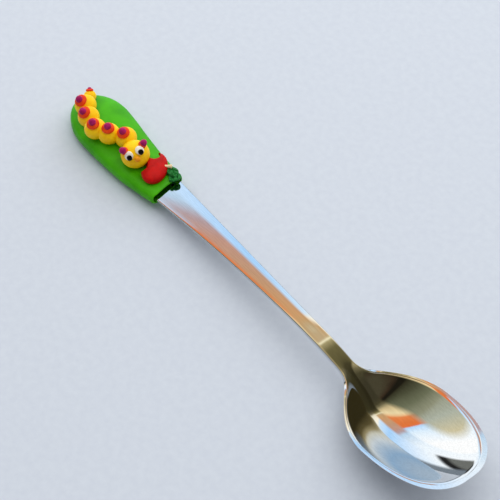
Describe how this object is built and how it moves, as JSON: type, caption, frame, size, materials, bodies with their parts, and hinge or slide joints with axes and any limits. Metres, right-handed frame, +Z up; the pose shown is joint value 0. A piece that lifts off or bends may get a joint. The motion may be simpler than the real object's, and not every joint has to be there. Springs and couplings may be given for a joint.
{
  "type": "cocktail spoon",
  "caption": "Polished steel spoon with a slim stem and oval bowl, its handle held in a baked clay sleeve that carries a modelled grub, a bitten apple and leaves.",
  "frame": {"origin": "centre of the bounding box's bottom face, on the table that the spoon lies on", "axes": "+X along the spoon from the sleeve's round end to the bowl's tip, +Y to the left, +Z up"},
  "size_m": [0.1644, 0.0276, 0.0138],
  "materials": {
    "polished_steel": "mirror-polished stainless steel",
    "green_clay": "baked polymer clay, satin",
    "yellow_clay": "baked polymer clay, satin",
    "orange_clay": "baked polymer clay, satin",
    "purple_clay": "baked polymer clay, satin",
    "white_clay": "baked polymer clay, satin",
    "black_clay": "baked polymer clay, satin",
    "amber_clay": "baked polymer clay, satin",
    "red_clay": "baked polymer clay, satin",
    "cream_clay": "baked polymer clay, satin",
    "leaf_clay": "baked polymer clay, satin"
  },
  "bodies": {
    "root": {"steel_spoon": "polished_steel", "handle_sleeve": "green_clay", "head_ball": "yellow_clay", "tail_ball": "yellow_clay", "tail_spot": "orange_clay", "tail_bead": "purple_clay", "body_2_ball": "yellow_clay", "body_2_spot": "orange_clay", "body_2_bead": "purple_clay", "body_3_ball": "yellow_clay", "body_3_spot": "orange_clay", "body_3_bead": "purple_clay", "body_4_ball": "yellow_clay", "body_4_spot": "orange_clay", "body_4_bead": "purple_clay", "body_5_ball": "yellow_clay", "body_5_spot": "orange_clay", "body_5_bead": "purple_clay", "body_6_ball": "yellow_clay", "body_6_spot": "orange_clay", "body_6_bead": "purple_clay", "left_eye": "white_clay", "left_pupil": "black_clay", "left_feeler_base": "orange_clay", "left_feeler_tip": "purple_clay", "right_eye": "white_clay", "right_pupil": "black_clay", "right_feeler_base": "orange_clay", "right_feeler_tip": "purple_clay", "nose": "amber_clay", "apple": "red_clay", "apple_stalk": "cream_clay", "leaf_lower": "leaf_clay", "leaf_upper": "leaf_clay"}
  },
  "joints": []
}
